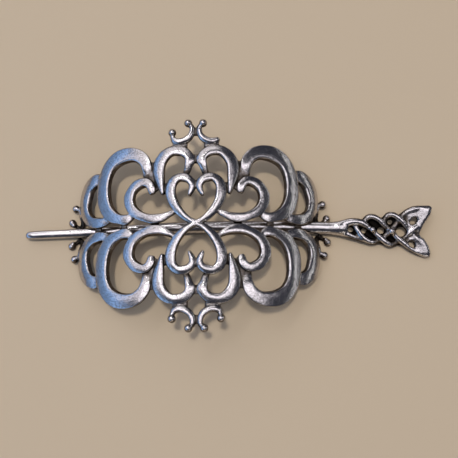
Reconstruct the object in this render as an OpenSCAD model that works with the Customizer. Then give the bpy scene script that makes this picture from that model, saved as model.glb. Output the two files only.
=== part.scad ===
// Hairpin: a bent openwork slide and the stick that passes under it.
// Millimetres. +X runs along the stick to its head, +Y across the slide, +Z up.
// The slide rests on the four inner balls of its end crowns, at Z = 0.

/* [Slide] */
// Radius to which the slide is bent, measured at the crests of its strokes
bend_r = 74.5; // [70:0.5:86]
// Thickness of the casting under a crest
plate_t = 2.1; // [1.7:0.1:2.2]
// Fall from the crest to the outer facet's edge on a narrow stroke
narrow_fall = 0.9; // [0.4:0.1:1.1]
// Fall from the crest to the outer facet's edge on a broad stroke
broad_fall = 0.7; // [0.2:0.1:1.0]
// Diameter of the balls on the crowns
ball_d = 2.9; // [2.5:0.1:3.3]

/* [Stick] */
// Scale of the shank's width
shank_scale = 1; // [0.8:0.05:1.05]
// Thickness of the flattened shank as a share of its width
shank_flat = 0.62; // [0.55:0.01:0.7]
// Clear height between the stick and the joined middles of the end crowns
seat_gap = 0.3; // [0.2:0.1:0.5]
// Thickness of the braid's strands
strand_t = 2.3; // [1.8:0.1:2.8]
// Thickness of the ground between the strands and of the two tail points
web_t = 2; // [1.4:0.1:2]
// Roll of the braided head about the stick's axis
head_roll = 12; // [0:1:12]
// Angle by which the head hangs below the shank's line
head_droop = 0.6; // [0:0.1:0.8]

/* [Output] */
// Which sub-part to draw

/* [Hidden] */
silver = [0.72, 0.72, 0.74];
dark_silver = [0.6, 0.6, 0.63];

// Stroke tables for one quarter of the slide, mirrored into the other three.
// Columns: place along the bend, place across, half width on the inner side,
// half width on the outer side, drop of the crest under the bent face.
S_AT = 0;
Y_AT = 1;
IN = 2;
OUT = 3;
DROP = 4;

// One lobe of a heart, from the crossing in the middle to the curl's tip
heart = [
    [0.3, 0.15, 1.1, 1.1, 0.1],
    [2.2, 1.1, 1.1, 1.3, 0.1],
    [4.0, 2.6, 1.1, 1.7, 0.0],
    [5.9, 4.9, 1.1, 2.1, 0.0],
    [7.4, 7.4, 1.1, 2.4, 0.0],
    [8.3, 9.8, 1.2, 2.7, 0.0],
    [8.6, 12.3, 1.2, 2.9, 0.0],
    [8.1, 14.8, 1.1, 2.6, 0.0],
    [6.6, 16.6, 1.2, 2.1, 0.0],
    [4.6, 17.0, 1.6, 1.9, 0.0],
    [2.6, 16.2, 1.4, 1.7, 0.0],
    [1.4, 14.3, 1.2, 1.6, 0.1],
    [1.5, 12.5, 1.2, 1.1, 0.2],
    [2.1, 11.1, 1.0, 0.8, 0.3],
    [2.6, 10.2, 0.5, 0.5, 0.5]
];
// The comma beside a heart, from its lower tip to the tail on the heart's lobe
comma = [
    [12.4, 10.9, 0.5, 0.5, 0.5],
    [12.7, 12.2, 0.9, 1.0, 0.2],
    [13.0, 14.5, 1.2, 1.6, 0.0],
    [13.3, 17.5, 1.6, 2.4, 0.0],
    [13.4, 20.0, 1.7, 2.8, 0.0],
    [12.8, 22.6, 1.5, 3.2, 0.0],
    [11.3, 25.0, 1.4, 3.1, 0.0],
    [9.4, 26.5, 1.3, 2.7, 0.0],
    [7.3, 27.0, 1.5, 2.4, 0.0],
    [5.0, 26.5, 1.4, 2.5, 0.0],
    [3.3, 25.0, 1.2, 2.5, 0.0],
    [2.7, 23.3, 1.4, 2.5, 0.0],
    [2.9, 21.7, 1.4, 1.8, 0.2],
    [3.2, 20.2, 1.3, 1.5, 0.6],
    [3.8, 18.8, 1.1, 1.3, 1.1]
];
// The arc of the crown above a comma, from the inner ball to the outer ball
crown = [
    [1.7, 37.1, 0.8, 0.8, 0.3],
    [1.2, 35.4, 1.1, 1.0, 0.1],
    [1.8, 33.3, 1.1, 1.2, 0.0],
    [3.1, 31.9, 1.2, 1.4, 0.0],
    [4.9, 31.0, 1.2, 1.4, 0.0],
    [6.6, 30.8, 1.3, 1.4, 0.0],
    [8.1, 31.5, 1.1, 1.3, 0.1],
    [8.8, 32.9, 0.8, 0.9, 0.3]
];
// The same arc where its outer ball has broken off, which leaves a short stub
broken_crown = [for (i = [0 : 5]) crown[i], [8.0, 31.4, 1.1, 1.2, 0.1], [8.5, 32.1, 0.7, 0.8, 0.3]];
// The inner wing scroll, from its bulb beside the comma round to the heart's side
inner_wing = [
    [16.5, 11.4, 1.1, 1.1, 0.5],
    [16.8, 12.6, 1.6, 1.6, 0.2],
    [17.3, 14.0, 1.5, 1.9, 0.0],
    [18.6, 15.4, 1.5, 2.0, 0.0],
    [20.4, 15.9, 1.9, 1.9, 0.0],
    [22.6, 15.0, 1.9, 2.2, 0.0],
    [24.2, 13.2, 1.6, 2.4, 0.0],
    [24.9, 10.8, 1.4, 3.0, 0.0],
    [24.7, 8.4, 1.4, 2.9, 0.0],
    [23.6, 6.2, 1.4, 2.6, 0.0],
    [21.6, 4.5, 1.3, 2.5, 0.0],
    [19.0, 3.3, 1.2, 2.3, 0.0],
    [16.2, 2.7, 1.3, 2.5, 0.0],
    [13.0, 2.7, 1.4, 2.1, 0.0],
    [10.6, 3.3, 1.4, 1.3, 0.2],
    [8.2, 4.4, 1.1, 1.0, 0.7]
];
// The big wing scroll, from its neck beside the comma round to the inner wing
big_wing = [
    [18.6, 17.4, 1.8, 1.7, 1.2],
    [18.8, 19.2, 1.9, 1.9, 0.7],
    [19.2, 21.4, 1.8, 2.6, 0.1],
    [20.6, 24.0, 1.7, 3.3, 0.0],
    [23.6, 26.0, 1.7, 3.6, 0.0],
    [27.5, 26.5, 2.2, 3.8, 0.0],
    [31.0, 25.6, 2.3, 3.9, 0.0],
    [33.8, 23.4, 2.0, 3.9, 0.0],
    [35.5, 20.3, 1.8, 4.0, 0.0],
    [36.2, 16.8, 1.7, 4.1, 0.0],
    [36.2, 13.2, 1.7, 4.3, 0.0],
    [35.6, 10.0, 1.7, 4.3, 0.0],
    [34.2, 7.2, 1.6, 4.0, 0.0],
    [32.0, 5.1, 1.4, 3.5, 0.0],
    [29.4, 3.8, 1.2, 2.8, 0.0],
    [27.0, 3.4, 1.3, 2.8, 0.1],
    [25.0, 3.8, 1.4, 1.7, 0.4],
    [23.4, 4.7, 1.0, 1.0, 0.9]
];
// The outer scroll, from the big wing's shoulder round to the big wing's foot
outer_wing = [
    [35.4, 17.9, 1.4, 1.4, 0.9],
    [38.0, 18.9, 2.0, 2.1, 0.8],
    [41.0, 19.2, 2.5, 2.9, 0.2],
    [43.4, 18.3, 2.6, 2.9, 0.0],
    [45.4, 16.5, 2.8, 2.8, 0.0],
    [46.6, 14.0, 3.0, 2.7, 0.0],
    [47.0, 11.0, 2.6, 2.8, 0.0],
    [46.5, 8.2, 2.2, 2.9, 0.0],
    [45.1, 5.8, 1.9, 2.7, 0.0],
    [42.6, 4.0, 1.7, 2.7, 0.0],
    [40.0, 3.2, 1.9, 2.6, 0.0],
    [37.2, 3.2, 1.5, 2.2, 0.2],
    [34.8, 3.6, 1.3, 1.7, 0.6],
    [33.2, 4.3, 1.0, 1.1, 0.9]
];
// The arc of an end crown, from its inner ball past the middle to its outer ball
end_crown = [
    [53.5, 3.9, 0.7, 0.7, 0.6],
    [52.6, 2.8, 0.9, 0.9, 1.5],
    [51.3, 2.7, 1.0, 1.1, 2.2],
    [50.1, 4.1, 1.1, 1.2, 1.8],
    [49.4, 5.9, 1.1, 1.2, 0.7],
    [49.4, 7.7, 1.0, 1.2, 0.2],
    [50.0, 9.1, 0.8, 1.0, 0.2],
    [51.0, 9.7, 0.7, 0.8, 0.2]
];
// Low ground that ties neighbouring strokes: same columns, equal sides
crown_neck = [[5.9, 31.2, 2.9, 2.9, 0.8], [5.9, 27.6, 2.9, 2.9, 0.8]];
heart_tie = [[10.2, 13.2, 2.0, 2.0, 0.9], [13.0, 13.3, 2.0, 2.0, 0.9]];
comma_tie = [
    [14.4, 12.9, 1.4, 1.4, 1.0],
    [15.6, 14.6, 1.9, 1.9, 1.0],
    [16.6, 17.2, 2.0, 2.0, 1.0],
    [16.4, 20.2, 1.2, 1.2, 1.0],
    [16.2, 23.6, 1.0, 1.0, 1.0]
];
// Ties over a mirror line: both ends given, the middle lies on the line
curl_tie = [[-1.4, 14.6, 1.4, 1.4, 0.9], [1.4, 14.6, 1.4, 1.4, 0.9]];
comma_middle_tie = [[-1.6, 24.1, 1.7, 1.7, 0.9], [1.6, 24.1, 1.7, 1.7, 0.9]];
crown_middle_tie = [[-1.2, 34.6, 1.6, 1.6, 0.8], [1.2, 34.6, 1.6, 1.6, 0.8]];
inner_wing_tie = [[15.4, -1.6, 1.5, 1.5, 0.9], [15.4, 1.6, 1.5, 1.5, 0.9]];
big_wing_tie = [[28.2, -2.0, 1.4, 1.4, 0.9], [28.2, 2.0, 1.4, 1.4, 0.9]];
outer_wing_tie = [[40.2, -2.0, 1.6, 1.6, 0.9], [40.2, 2.0, 1.6, 1.6, 0.9]];
// Pad under the place where the two hearts cross
crossing_pad = [[-1.3, 0.0, 0.9, 0.9, 0.2], [1.3, 0.0, 0.9, 0.9, 0.2]];

// Balls: place along, place across, stem's place along, stem's place across, drop
crown_balls = [
    [2.8, 37.7, 1.8, 36.6, 0.7],
    [8.8, 34.3, 8.7, 32.7, 0.8]
];
end_balls = [
    [53.9, 4.6, 53.1, 3.6, 0.4],
    [51.9, 9.9, 50.6, 9.5, 0.4]
];
// Stations from row to row of a narrow and of a broad stroke's table
narrow_steps = 1;
broad_steps = 2;
// Least metal under a crest that is dropped
min_t = 1.2;
// Section: shares of the half widths at the crest's two edges and at the outer foot
crest_in = 0.35;
crest_out = 0.14;
foot_out = 0.88;
// Most of a section's depth that the outer facet may take
fall_share = 0.6;
// Stem of a ball: share of the ball's diameter, sides, and how far its foot lies deeper
stem_share = 0.5;
stem_sides = 8;
stem_sink = 0.1;
// Lift of a tie's underside over the strokes' underside
tie_lift = 0.2;
// Bar that joins the two arcs of an end crown, under the stick
join_d = 1.5;
join_clear = 0.25;
join_half = 2.6;
join_s = 51.6;
ball_sides = 12;
ball_reach = ball_d / 2 * cos(180 / ball_sides);
rise = bend_r - (bend_r - end_balls[0][4]) * cos(turn(end_balls[0][0])) + ball_reach;
join_x = (bend_r - 2) * sin(turn(join_s));
seat_z = join_clear + join_d + seat_gap;

// Shank: place along from the slide's middle, place across, width
shank = [
    [-66.8, -0.3, 1.0],
    [-66.4, -0.3, 2.3],
    [-65.0, -0.25, 3.15],
    [-62.0, -0.2, 3.45],
    [-54.0, 0.0, 3.55],
    [-42.0, 0.3, 3.75],
    [-20.0, 1.3, 4.3],
    [0.0, 1.75, 4.65],
    [25.0, 1.4, 4.8],
    [47.0, 0.6, 4.95],
    [51.0, 0.4, 5.15],
    [54.0, 0.3, 5.8],
    [56.5, 0.3, 5.0]
];
// Braid strands in the head's own plane: place along, place across, width, height
upper_strand = [
    [-1.5, 2.0, 3.0, 0.2],
    [1.6, 2.8, 3.4, 0.2],
    [4.3, 3.5, 2.9, 0.3],
    [7.3, 3.3, 2.6, 0.3],
    [9.6, 2.0, 2.3, 0.2],
    [11.8, 0.2, 2.3, 0.0],
    [14.1, -1.9, 2.2, 0.2],
    [16.7, -4.3, 2.2, 0.3],
    [18.7, -5.4, 2.2, 0.1],
    [20.7, -4.8, 2.2, -0.2],
    [22.8, -3.6, 2.1, -0.2],
    [24.8, -2.2, 2.1, 0.0],
    [26.6, -0.4, 2.3, 0.3],
    [29.0, 1.6, 2.4, 0.2]
];
lower_strand = [
    [-1.5, 0.2, 3.0, 0.0],
    [1.6, -0.8, 2.8, 0.0],
    [4.2, -1.9, 2.3, 0.0],
    [6.5, -2.8, 2.0, 0.0],
    [8.8, -3.7, 1.9, 0.0]
];
crossing_strand = [
    [5.2, 2.3, 2.0, 0.0],
    [6.1, 0.6, 2.0, 0.2],
    [7.7, -1.7, 2.1, 0.3],
    [9.6, -3.5, 2.2, 0.3],
    [11.9, -4.3, 2.2, 0.1],
    [14.2, -3.8, 2.1, -0.2],
    [16.4, -2.3, 2.1, -0.1],
    [18.8, -0.2, 2.3, 0.2],
    [20.8, 2.2, 2.2, -0.1],
    [22.3, 4.4, 2.1, -0.2],
    [24.0, 6.1, 2.2, 0.0],
    [26.8, 7.7, 2.2, 0.2],
    [30.2, 8.4, 2.0, 0.2],
    [33.3, 8.3, 1.6, 0.1]
];
first_bow = [
    [8.2, 1.2, 1.9, -0.2],
    [8.9, 3.3, 2.1, -0.1],
    [10.2, 5.0, 2.2, 0.1],
    [12.2, 5.3, 2.2, 0.2],
    [14.4, 4.2, 2.2, 0.3],
    [16.1, 2.4, 2.2, 0.2],
    [18.0, 0.6, 2.3, 0.0],
    [19.6, -1.0, 2.2, 0.1],
    [21.5, -3.0, 2.2, 0.3],
    [24.0, -5.2, 2.2, 0.3],
    [27.0, -7.4, 2.1, 0.2],
    [30.0, -8.9, 1.9, 0.2],
    [32.4, -9.4, 1.6, 0.1]
];
second_bow = [
    [16.4, 2.4, 1.9, -0.2],
    [16.8, 4.4, 2.0, -0.1],
    [18.0, 5.8, 2.2, 0.1],
    [19.9, 5.9, 2.2, 0.2],
    [22.0, 4.6, 2.2, 0.3],
    [23.7, 2.8, 2.1, 0.3],
    [25.3, 0.6, 2.1, 0.1],
    [26.9, -1.3, 2.1, 0.0],
    [28.7, -3.4, 2.0, 0.2],
    [30.3, -6.0, 1.9, 0.2],
    [31.5, -8.2, 1.6, 0.1]
];
strands = [upper_strand, lower_strand, crossing_strand, first_bow, second_bow];
// Holes through the head: place along, place across, length, width, turn
head_holes = [
    [3.7, 0.5, 2.3, 1.7, -12],
    [8.65, 0.0, 2.1, 1.9, 0],
    [15.2, 0.0, 2.8, 2.6, 0],
    [22.8, -0.6, 3.9, 3.7, 0],
    [18.7, 3.2, 1.9, 1.6, 0],
    [27.5, 3.4, 3.3, 2.3, 35],
    [26.8, -5.3, 3.2, 2.1, -50]
];
// Beads on the two middle crossings: place along, place across, diameter
head_beads = [[11.8, 0.4, 2.0], [19.1, -0.3, 2.2]];
braid_ground = [
    [-1.0, 2.8], [1.6, 4.0], [4.3, 4.6], [8.0, 4.3], [10.2, 5.4], [12.2, 5.8], [14.6, 5.0],
    [16.5, 5.0], [18.0, 6.4], [19.8, 6.4], [22.6, 5.4], [25.0, 6.0], [27.0, 4.0], [26.5, -6.4],
    [24.0, -6.0], [21.0, -5.7], [18.7, -6.5], [16.5, -5.6], [14.5, -4.9], [12.0, -5.4],
    [10.0, -4.8], [7.6, -3.8], [4.2, -2.8], [1.6, -1.8], [-1.0, -0.8]
];
upper_point = [
    [24.5, 1.0], [23.6, 6.0], [27.0, 8.5], [31.0, 9.3], [33.8, 9.3], [34.7, 8.4],
    [34.2, 6.0], [31.6, 2.2], [29.6, -1.7], [26.0, -1.4]
];
lower_point = [
    [24.0, -2.8], [25.2, -6.9], [28.5, -9.4], [32.0, -10.7], [33.6, -10.4],
    [33.9, -8.4], [33.2, -6.0], [31.6, -3.5], [29.6, -1.7], [26.0, -1.4]
];
// Middle line of the braid, across from the slide's middle line
head_y = -0.8;
head_x = 54;
head_z = seat_z + 1.6;
head_stop_x = head_x + 34.73;
mid_x = (head_stop_x + shank[0][0]) / 2;

function turn(s) = s / bend_r * 180 / PI;
function bent(s, y, h) = [
    (bend_r + h) * sin(turn(s)),
    y,
    rise + (bend_r + h) * cos(turn(s)) - bend_r
];
function row_at(rows, i) = rows[min(max(i, 0), len(rows) - 1)];
// Smooth curve from b to c, with a before and d after them
function spline(a, b, c, d, t) =
    b + (c - a) * t / 2 + (a * 2 - b * 5 + c * 4 - d) * t * t / 2
    + (b * 3 - a - c * 3 + d) * t * t * t / 2;
function fine(rows, steps = 1) = [
    for (i = [0 : len(rows) - 2], k = [0 : steps - 1])
        spline(row_at(rows, i - 1), rows[i], rows[i + 1], row_at(rows, i + 2), k / steps),
    rows[len(rows) - 1]
];
function left_of(rows, i) =
    let (way = row_at(rows, i + 1) - row_at(rows, i - 1))
    [-way[Y_AT], way[S_AT]] / norm([way[S_AT], way[Y_AT]]);
// Points of a stroke's section: distance to the outer side, height over the bent face
function section(row, fall, foot) = [
    [-row[IN], foot],
    [-row[IN] * crest_in, -row[DROP]],
    [row[OUT] * crest_out, -row[DROP]],
    [row[OUT], -row[DROP] - min(fall, (-foot - row[DROP]) * fall_share)],
    [row[OUT] * foot_out, foot]
];
function stroke_ring(rows, i, side, fall, base) =
    let (left = left_of(rows, i))
    let (foot = -max(base, rows[i][DROP] + min_t))
    [
        for (p = section(rows[i], fall, foot))
            bent(rows[i][S_AT] + side * p[0] * left[0], rows[i][Y_AT] + side * p[0] * left[1], p[1])
    ];
// Ring of a strand: a low octagon across the strand's way in the head's plane
function strand_ring(rows, i) =
    let (left = left_of(rows, i))
    [
        for (a = [22.5 : 45 : 360])
            let (q = cos(a) / cos(22.5) * rows[i][2] / 2)
            [
                rows[i][0] + left[0] * q,
                rows[i][1] + left[1] * q,
                rows[i][3] + sin(a) * strand_t / 2
            ]
    ];
// Ring of the shank: an oval rolled with the head, its underside at the seat's height
function shank_ring(row) =
    let (out = row[2] * shank_scale / 2, up = out * shank_flat)
    let (mid_z = seat_z + norm([out * sin(head_roll), up * cos(head_roll)]))
    [
        for (a = [15 : 30 : 345])
            let (y = cos(a) * out, z = sin(a) * up)
            [
                row[S_AT],
                row[Y_AT] + y * cos(head_roll) - z * sin(head_roll),
                mid_z + y * sin(head_roll) + z * cos(head_roll)
            ]
    ];

// A skin over a row of rings, closed at both ends
module skin(rings, flip) {
    m = len(rings[0]);
    n = len(rings);
    walls = [
        for (i = [0 : n - 2], j = [0 : m - 1])
            let (a = i * m + j, b = i * m + (j + 1) % m)
            each [[a, b, b + m], [a, b + m, a + m]]
    ];
    caps = [
        for (j = [1 : m - 2])
            each [[0, j + 1, j], [(n - 1) * m, (n - 1) * m + j, (n - 1) * m + j + 1]]
    ];
    faces = [for (f = concat(walls, caps)) flip ? [f[2], f[1], f[0]] : f];
    polyhedron([for (r = rings) each r], faces);
}

module stroke(table, side, fall, steps, base = plate_t) {
    rows = fine(table, steps);
    skin([for (i = [0 : len(rows) - 1]) stroke_ring(rows, i, side, fall, base)], side < 0);
}

module tie(table, base = plate_t - tie_lift) {
    skin([for (i = [0 : len(table) - 1]) stroke_ring(table, i, 1, tie_lift, base)], false);
}

module ball(row) {
    middle = bent(row[S_AT], row[Y_AT], -row[DROP]);
    foot = bent(row[2], row[3], -row[DROP] - stem_sink);
    translate(middle) sphere(d = ball_d, $fn = ball_sides);
    hull() for (end = [middle, foot]) translate(end) sphere(d = ball_d * stem_share, $fn = stem_sides);
}

// One quarter of the slide; the broken one has lost the outer ball of its crown
module quarter(broken) {
    stroke(heart, -1, narrow_fall, narrow_steps);
    stroke(comma, -1, narrow_fall, narrow_steps);
    stroke(broken ? broken_crown : crown, -1, narrow_fall, narrow_steps);
    stroke(inner_wing, 1, broad_fall, broad_steps);
    stroke(big_wing, 1, broad_fall, broad_steps);
    stroke(outer_wing, 1, broad_fall, broad_steps);
    stroke(end_crown, 1, narrow_fall, narrow_steps, 0);
    tie(crown_neck);
    tie(heart_tie);
    tie(comma_tie);
    ball(crown_balls[0]);
    if (!broken) {
        ball(crown_balls[1]);
    }
    ball(end_balls[0]);
    ball(end_balls[1]);
}

module slide_plate() {
    color(silver) translate([-mid_x, 0, 0]) {
        for (sx = [0, 1], sy = [0, 1]) {
            mirror([sx, 0, 0]) mirror([0, sy, 0]) quarter(sx == 0 && sy == 0);
        }
        tie(crossing_pad);
        for (sy = [0, 1]) mirror([0, sy, 0]) {
            tie(curl_tie);
            tie(comma_middle_tie);
            tie(crown_middle_tie);
        }
        for (sx = [0, 1]) mirror([sx, 0, 0]) {
            tie(inner_wing_tie);
            tie(big_wing_tie);
            tie(outer_wing_tie);
            translate([join_x, 0, join_clear + join_d / 2]) rotate([90, 0, 0])
                cylinder(h = 2 * join_half, d = join_d, center = true, $fn = 10);
        }
    }
}

module braid_head() {
    difference() {
        union() {
            for (s = strands) {
                skin([for (i = [0 : len(fine(s)) - 1]) strand_ring(fine(s), i)], true);
            }
            for (outline = [braid_ground, upper_point, lower_point]) {
                translate([0, 0, -web_t / 2]) linear_extrude(web_t) polygon(outline);
            }
            for (b = head_beads) {
                translate([b[0], b[1], strand_t / 2 - 0.3]) sphere(d = b[2], $fn = 12);
            }
        }
        for (h = head_holes) {
            translate([h[0], h[1], -strand_t]) rotate([0, 0, h[4]]) scale([h[2], h[3], 1])
                cylinder(h = 2 * strand_t, d = 1, $fn = 16);
        }
    }
}

module hair_stick() {
    color(dark_silver) translate([-mid_x, 0, 0]) {
        skin([for (row = fine(shank)) shank_ring(row)], true);
        translate([head_x, head_y, head_z]) rotate([head_roll, head_droop, 0]) braid_head();
    }
}

slide_plate();
hair_stick();
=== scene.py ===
"""Dressed model of a bent openwork hair slide and the stick that passes under it.

The tables give the flat drawing in millimetres, along the stick and across the slide. The castings
are shaped in millimetres too, and their meshes end in metres. The part's frame is that of the
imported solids.
"""

import logging
import math
from abc import ABC, abstractmethod
from dataclasses import dataclass, field
from enum import Enum
from typing import Any, NamedTuple

import bmesh
import bpy
import numpy as np
from bpy.types import Material, Mesh, NodeSocket, NodeTree, Object
from mathutils import Euler, Matrix, Vector, noise
from mathutils.bvhtree import BVHTree


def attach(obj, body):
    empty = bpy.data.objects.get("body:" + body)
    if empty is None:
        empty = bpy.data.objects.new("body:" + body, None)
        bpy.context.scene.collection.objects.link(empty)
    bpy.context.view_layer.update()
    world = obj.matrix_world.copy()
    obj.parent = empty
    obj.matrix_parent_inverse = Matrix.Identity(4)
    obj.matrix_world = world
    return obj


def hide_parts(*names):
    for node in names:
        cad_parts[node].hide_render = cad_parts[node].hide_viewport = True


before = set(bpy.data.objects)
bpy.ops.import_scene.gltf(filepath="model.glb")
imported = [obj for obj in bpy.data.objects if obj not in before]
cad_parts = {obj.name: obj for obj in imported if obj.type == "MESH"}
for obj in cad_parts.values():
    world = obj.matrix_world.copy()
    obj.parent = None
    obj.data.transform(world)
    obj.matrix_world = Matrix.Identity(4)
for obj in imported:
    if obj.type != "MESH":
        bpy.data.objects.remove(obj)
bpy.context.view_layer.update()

LOG = logging.getLogger("hairpin")
MM = 0.001
# The top of the slide's bent face in the part's frame, in millimetres.
CREST = (-10.965, 0.0, 20.36)
# What a casting stores at each point of its skin for its finish, which darkens the metal by both,
# partly as oxidation and partly as painted shade.
SHADE_AND_WEAR = ("shut_in", "sunk_and_shaded")

Pair = tuple[float, float]
Point = tuple[float, float, float]
Flip = tuple[int, int]
Named = dict[int | str, Any]


class Stroke(NamedTuple):
    """One row of a stroke: its place, its half widths and how far its crest lies under the face."""

    along: float
    across: float
    inner: float
    outer: float
    drop: float


class Ball(NamedTuple):
    """One ball: its place, where its stem meets the stroke, and how far it lies under the face."""

    along: float
    across: float
    stem_along: float
    stem_across: float
    drop: float


class Strand(NamedTuple):
    """One row of a strand of the braid: its place in the head's plane, its width and its height."""

    along: float
    across: float
    width: float
    height: float


class Waist(NamedTuple):
    """One row of the shank, or a bead: its place and its width."""

    along: float
    across: float
    width: float


class Hole(NamedTuple):
    """One hole through the head: its place, its two widths and its turn in degrees."""

    along: float
    across: float
    length: float
    width: float
    turn: float


class Corner(NamedTuple):
    """One corner of a stroke's section.

    across is a share of the inner half width below zero, and of the outer one above it. The height
    is made of shares of the foot's height, of the crest's drop and of the facet's fall, and of lift
    in millimetres.
    """

    across: float
    foot: float = 0.0
    crest: float = 1.0
    fall: float = 0.0
    lift: float = 0.0


def rows(kind: type, *values: tuple[float, ...]) -> tuple:
    """Makes the rows of a table, all of one kind."""
    return tuple(kind(*each) for each in values)


# The two inner walls, from the underside up to the crest, and the facet that falls outward from it.
NARROW_WALL = (
    Corner(-0.92, 1, 0), Corner(-1, 0.65, 0.3), Corner(-0.97, lift=-0.65),
    Corner(-0.88, lift=-0.34), Corner(-0.68, lift=-0.12), Corner(-0.35, lift=-0.02),
)
BROAD_WALL = (
    Corner(-0.95, 1, 0), Corner(-0.97, 1, 0, lift=0.3), Corner(-0.9, lift=-1.1),
    Corner(-0.8, lift=-0.45), Corner(-0.68, lift=-0.15), Corner(-0.4, lift=-0.03),
)
FACET = (
    Corner(0.08), Corner(0.36, fall=0.16), Corner(0.6, fall=0.4), Corner(0.84, fall=0.68),
    Corner(0.97, fall=0.9), Corner(1, fall=1, lift=-0.3), Corner(0.9, 1, 0),
)

# The strokes of one quarter of the slide, the one at the right and away from the viewer.
HEART = rows(
    Stroke, (0.3, 0.15, 1.1, 1.1, 0.1), (2.2, 1.1, 1.1, 1.3, 0.1), (4, 2.6, 1.1, 1.7, 0),
    (5.9, 4.9, 1.1, 2.1, 0), (7.4, 7.4, 1.1, 2.4, 0), (8.3, 9.8, 1.2, 2.7, 0),
    (8.6, 12.3, 1.2, 2.9, 0), (8.1, 14.8, 1.1, 2.6, 0), (6.6, 16.6, 1.2, 2.1, 0),
    (4.6, 17, 1.6, 1.9, 0), (2.6, 16.2, 1.4, 1.7, 0), (1.4, 14.3, 1.2, 1.6, 0.1),
    (1.5, 12.5, 1.2, 1.1, 0.2), (2.1, 11.1, 1, 0.8, 0.3), (2.6, 10.2, 0.5, 0.5, 0.5),
)
COMMA = rows(
    Stroke, (12.4, 10.9, 0.5, 0.5, 0.5), (12.7, 12.2, 0.9, 1, 0.2), (13, 14.5, 1.2, 1.6, 0),
    (13.3, 17.5, 1.6, 2.4, 0), (13.4, 20, 1.7, 2.8, 0), (12.8, 22.6, 1.5, 3.2, 0),
    (11.3, 25, 1.4, 3.1, 0), (9.4, 26.5, 1.3, 2.7, 0), (7.3, 27, 1.5, 2.4, 0),
    (5, 26.5, 1.4, 2.5, 0), (3.3, 25, 1.2, 2.5, 0), (2.7, 23.3, 1.4, 2.5, 0),
    (2.9, 21.7, 1.4, 1.8, 0.2), (3.2, 20.2, 1.3, 1.5, 0.6), (3.8, 18.8, 1.1, 1.3, 1.1),
)
CROWN = rows(
    Stroke, (1.7, 37.1, 0.8, 0.8, 0.3), (1.2, 35.4, 1.1, 1, 0.1), (1.8, 33.3, 1.1, 1.2, 0),
    (3.1, 31.9, 1.2, 1.4, 0), (4.9, 31, 1.2, 1.4, 0), (6.6, 30.8, 1.3, 1.4, 0),
    (8.1, 31.5, 1.1, 1.3, 0.1), (8.8, 32.9, 0.8, 0.9, 0.3),
)
# The far crown at the right ends in a broken stub.
BROKEN_CROWN = CROWN[:6] + rows(Stroke, (8, 31.4, 1.1, 1.2, 0.1), (8.5, 32.1, 0.7, 0.8, 0.3))
INNER_WING = rows(
    Stroke, (16.5, 11.4, 1.1, 1.1, 0.5), (16.8, 12.6, 1.6, 1.6, 0.2), (17.3, 14, 1.5, 1.9, 0),
    (18.6, 15.4, 1.5, 2, 0), (20.4, 15.9, 1.9, 1.9, 0), (22.6, 15, 1.9, 2.2, 0),
    (24.2, 13.2, 1.6, 2.4, 0), (24.9, 10.8, 1.4, 3, 0), (24.7, 8.4, 1.4, 2.9, 0),
    (23.6, 6.2, 1.4, 2.6, 0), (21.6, 4.5, 1.3, 2.5, 0), (19, 3.3, 1.2, 2.3, 0),
    (16.2, 2.7, 1.3, 2.5, 0), (13, 2.7, 1.4, 2.1, 0), (10.6, 3.3, 1.4, 1.3, 0.2),
    (8.2, 4.4, 1.1, 1, 0.7),
)
BIG_WING = rows(
    Stroke, (18.6, 17.4, 1.8, 1.7, 1.2), (18.8, 19.2, 1.9, 1.9, 0.7), (19.2, 21.4, 1.8, 2.6, 0.1),
    (20.6, 24, 1.7, 3.3, 0), (23.6, 26, 1.7, 3.6, 0), (27.5, 26.5, 2.2, 3.8, 0),
    (31, 25.6, 2.3, 3.9, 0), (33.8, 23.4, 2, 3.9, 0), (35.5, 20.3, 1.8, 4, 0),
    (36.2, 16.8, 1.7, 4.1, 0), (36.2, 13.2, 1.7, 4.3, 0), (35.6, 10, 1.7, 4.3, 0),
    (34.2, 7.2, 1.6, 4, 0), (32, 5.1, 1.4, 3.5, 0), (29.4, 3.8, 1.2, 2.8, 0),
    (27, 3.4, 1.3, 2.8, 0.1), (25, 3.8, 1.4, 1.7, 0.4), (23.4, 4.7, 1, 1, 0.9),
)
OUTER_WING = rows(
    Stroke, (35.4, 17.9, 1.4, 1.4, 0.9), (38, 18.9, 2, 2.1, 0.8), (41, 19.2, 2.5, 2.9, 0.2),
    (43.4, 18.3, 2.6, 2.9, 0), (45.4, 16.5, 2.8, 2.8, 0), (46.6, 14, 3, 2.7, 0),
    (47, 11, 2.6, 2.8, 0), (46.5, 8.2, 2.2, 2.9, 0), (45.1, 5.8, 1.9, 2.7, 0),
    (42.6, 4, 1.7, 2.7, 0), (40, 3.2, 1.9, 2.6, 0), (37.2, 3.2, 1.5, 2.2, 0.2),
    (34.8, 3.6, 1.3, 1.7, 0.6), (33.2, 4.3, 1, 1.1, 0.9),
)
END_CROWN = rows(
    Stroke, (53.5, 3.9, 0.7, 0.7, 0.6), (52.6, 2.8, 0.9, 0.9, 1.5), (51.3, 2.7, 1, 1.1, 2.2),
    (50.1, 4.1, 1.1, 1.2, 1.8), (49.4, 5.9, 1.1, 1.2, 0.7), (49.4, 7.7, 1, 1.2, 0.2),
    (50, 9.1, 0.8, 1, 0.2), (51, 9.7, 0.7, 0.8, 0.2),
)

# Low bridges inside the quarter.
CROWN_NECK = rows(Stroke, (5.9, 31.2, 2.9, 2.9, 0.8), (5.9, 27.6, 2.9, 2.9, 0.8))
HEART_TIE = rows(Stroke, (10.2, 13.2, 2, 2, 0.9), (13, 13.3, 2, 2, 0.9))
COMMA_TIE = rows(
    Stroke, (14.4, 12.9, 1.4, 1.4, 1), (15.6, 14.6, 1.9, 1.9, 1), (16.6, 17.2, 2, 2, 1),
    (16.4, 20.2, 1.2, 1.2, 1), (16.2, 23.6, 1, 1, 1),
)

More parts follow.
